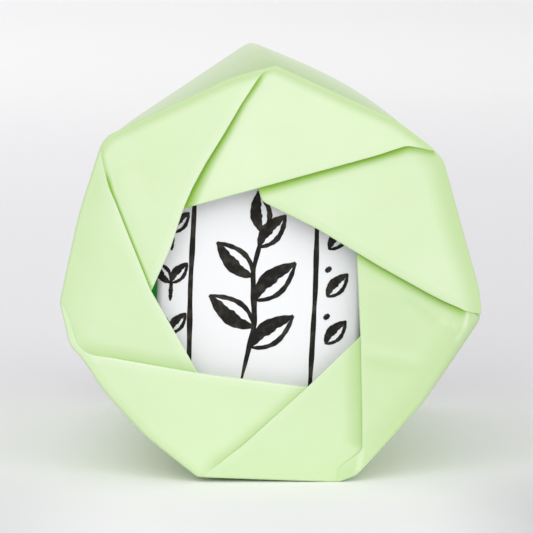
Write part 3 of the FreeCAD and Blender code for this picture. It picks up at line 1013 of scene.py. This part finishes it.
class TEACADDY_OT_tin(bpy.types.Operator):
    """Finish the tin's own pieces"""

    bl_idname = "teacaddy.tin"
    bl_label = "Tin Finishes"

    def execute(self, context):
        finish = settings().finish
        green = shared_material(lacquer, finish)
        tin = bare_metal("Rolled tinplate", finish.tinplate, roughness=0.3, stretch=(1.0, 0.06, 1.0))
        brass = bare_metal("Turned brass", finish.brass, roughness=0.28, stretch=(0.3, 1.0, 0.3))
        coats = {
            "lid_shell": green, "canister_wall": green, "neck_sleeve": tin, "inner_lid": tin,
            "canister_base": tin, "inner_lid_knob": brass, "inner_lid_washer": brass,
        }
        for node, material in coats.items():
            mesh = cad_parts[node].data
            mesh.materials.clear()
            mesh.materials.append(material)
        return {"FINISHED"}


class TEACADDY_OT_stage(bpy.types.Operator):
    """Set up the floor, the light and the camera"""

    bl_idname = "teacaddy.stage"
    bl_label = "Stage"

    def execute(self, context):
        scene = context.scene
        scene.view_settings.view_transform = "Standard"
        self.lay_floor()
        self.set_light(scene)
        self.set_camera(scene)
        return {"FINISHED"}

    def lay_floor(self):
        """A floor that bends up into a backdrop: flat, then a quarter circle, then a wall."""
        near, far, top, half_width = -3.0, 1.6, 3.0, 4.0
        radius = 0.8
        bend = np.linspace(0, math.pi / 2, 24)
        y = np.concatenate([[near], far + radius * np.sin(bend), [far + radius]])
        z = np.concatenate([[0.0], radius * (1 - np.cos(bend)), [top]])
        x = np.array([-half_width, half_width])
        points = np.stack(np.broadcast_arrays(x[None], y[:, None], z[:, None]), axis=-1)
        floor = mesh_piece("floor", points, grid_faces(grid_index(*points.shape[:2])))
        floor.data.materials.append(stage_paper(settings().finish))

    def set_light(self, scene):
        """A bright even room, a large soft lamp on the left, a weak one on the right, one on the wall."""
        world = bpy.data.worlds.new("Studio")
        world.use_nodes = True
        back = world.node_tree.nodes["Background"]
        back.inputs["Color"].default_value = (1.0, 1.0, 1.0, 1.0)
        back.inputs["Strength"].default_value = 0.53
        scene.world = world
        tin = (0, 0, AXIS_HEIGHT)
        wall = (-0.4, 2.2, 0.2)
        self.add_lamp(scene, "Key", place=(-0.2, -0.92, 0.78), target=tin, size=1.2, power=7.2)
        self.add_lamp(scene, "Fill", place=(0.7, -0.7, 0.35), target=tin, size=0.8, power=2.2)
        self.add_lamp(scene, "Backdrop lamp", place=(-0.5, 1.0, 1.4), target=wall, size=1.2, power=9.0)

    def add_lamp(self, scene, name, place, target, size, power):
        """A square lamp that faces a target."""
        data = bpy.data.lights.new(name, "AREA")
        data.shape = "SQUARE"
        data.size = size
        data.energy = power
        lamp = bpy.data.objects.new(name, data)
        aim = Vector(target) - Vector(place)
        turn = aim.to_track_quat("-Z", "Y").to_matrix().to_4x4()
        lamp.matrix_world = Matrix.Translation(place) @ turn
        scene.collection.objects.link(lamp)

    def set_camera(self, scene):
        """A long lens whose middle meets the folded end at the aim point."""
        stage = settings().stage
        data = bpy.data.cameras.new("Camera")
        data.sensor_fit = "HORIZONTAL"
        data.lens = stage.distance * data.sensor_width / stage.frame_width
        data.clip_start = 0.01
        data.clip_end = 50.0
        camera = bpy.data.objects.new("Camera", data)
        level = math.cos(stage.elevation)
        ahead = Vector((
            -math.sin(stage.azimuth) * level, math.cos(stage.azimuth) * level, -math.sin(stage.elevation)))
        aim = Vector((stage.aim_right, FRONT, AXIS_HEIGHT + stage.aim_up))
        turn = ahead.to_track_quat("-Z", "Y").to_matrix().to_4x4()
        camera.matrix_world = Matrix.Translation(aim - ahead * stage.distance) @ turn
        scene.collection.objects.link(camera)
        scene.camera = camera


class TEACADDY_PT_panel(bpy.types.Panel):
    """Buttons for the tea caddy"""

    bl_label = "Tea Caddy"
    bl_space_type = "VIEW_3D"
    bl_region_type = "UI"
    bl_category = "Tea Caddy"

    def draw(self, context):
        for operator in OPERATORS:
            self.layout.operator(operator.bl_idname)


OPERATORS = (
    TEACADDY_OT_sleeve, TEACADDY_OT_flaps, TEACADDY_OT_label, TEACADDY_OT_tin, TEACADDY_OT_stage,
)
CLASSES = (
    WrapperSettings, LabelSettings, FinishSettings, StageSettings, TeaCaddySettings,
    *OPERATORS, TEACADDY_PT_panel,
)


def register():
    for item in CLASSES:
        bpy.utils.register_class(item)
    bpy.types.Scene.tea_caddy = PointerProperty(type=TeaCaddySettings)


def unregister():
    del bpy.types.Scene.tea_caddy
    for item in reversed(CLASSES):
        bpy.utils.unregister_class(item)


def main():
    """Build every piece and the stage."""
    register()
    bpy.ops.teacaddy.sleeve()
    bpy.ops.teacaddy.flaps()
    bpy.ops.teacaddy.label()
    bpy.ops.teacaddy.tin()
    bpy.ops.teacaddy.stage()


if __name__ == "__main__":
    main()
